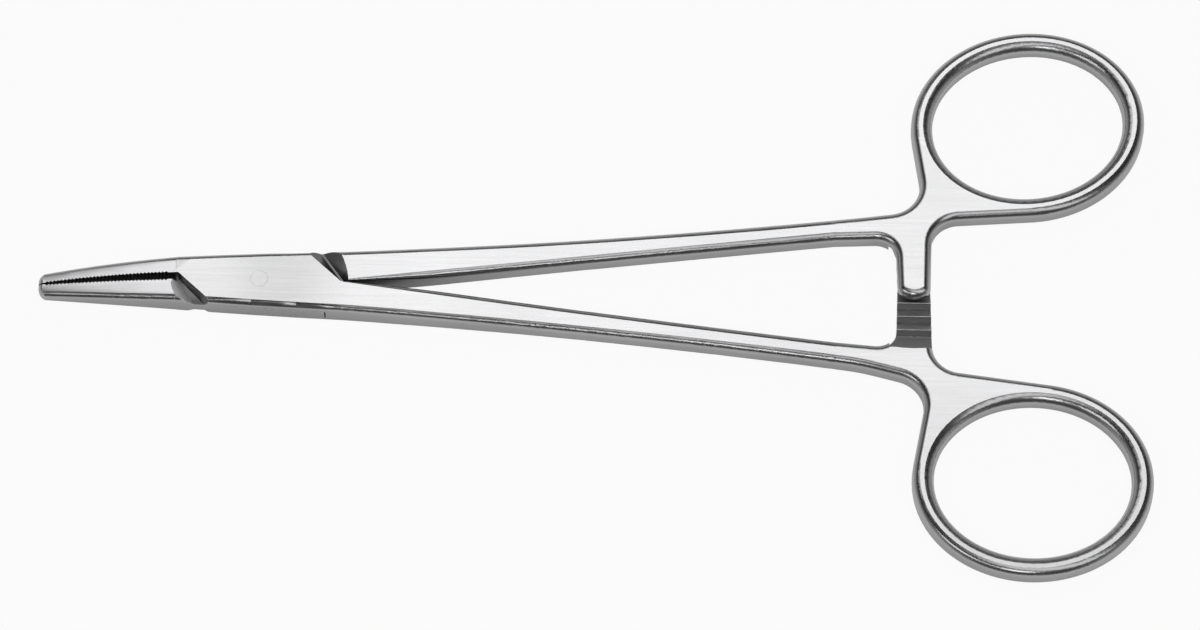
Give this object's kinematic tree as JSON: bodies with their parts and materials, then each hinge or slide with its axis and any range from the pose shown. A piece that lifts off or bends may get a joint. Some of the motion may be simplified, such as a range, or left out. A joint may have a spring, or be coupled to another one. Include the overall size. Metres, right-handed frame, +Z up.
{
  "type": "needle holder",
  "caption": "Ring-handled box-lock needle holder with short serrated jaws, long slim shanks and a ratchet between the finger rings, in satin steel.",
  "frame": {"origin": "on the axis of the pivot rivet, at the flat underside of the box lock that the instrument lies on", "axes": "+X along the centreline from the pivot to the finger rings, +Y across the shanks towards the ring of the tongue half, +Z up along the pivot axis"},
  "size_m": [0.1599, 0.0878, 0.004],
  "materials": {
    "satin_steel": "satin brushed lands with softly polished edges"
  },
  "bodies": {
    "box_side": {"box_half": "satin_steel", "pivot_pin": "satin_steel"},
    "tongue_side": {"tongue_half": "satin_steel"}
  },
  "joints": [
    {"name": "box_lock", "type": "hinge", "parent": "box_side", "child": "tongue_side", "pos_m": [0, 0, 0.002], "axis": [0, 0, 1], "range_deg": [0, 80]}
  ]
}
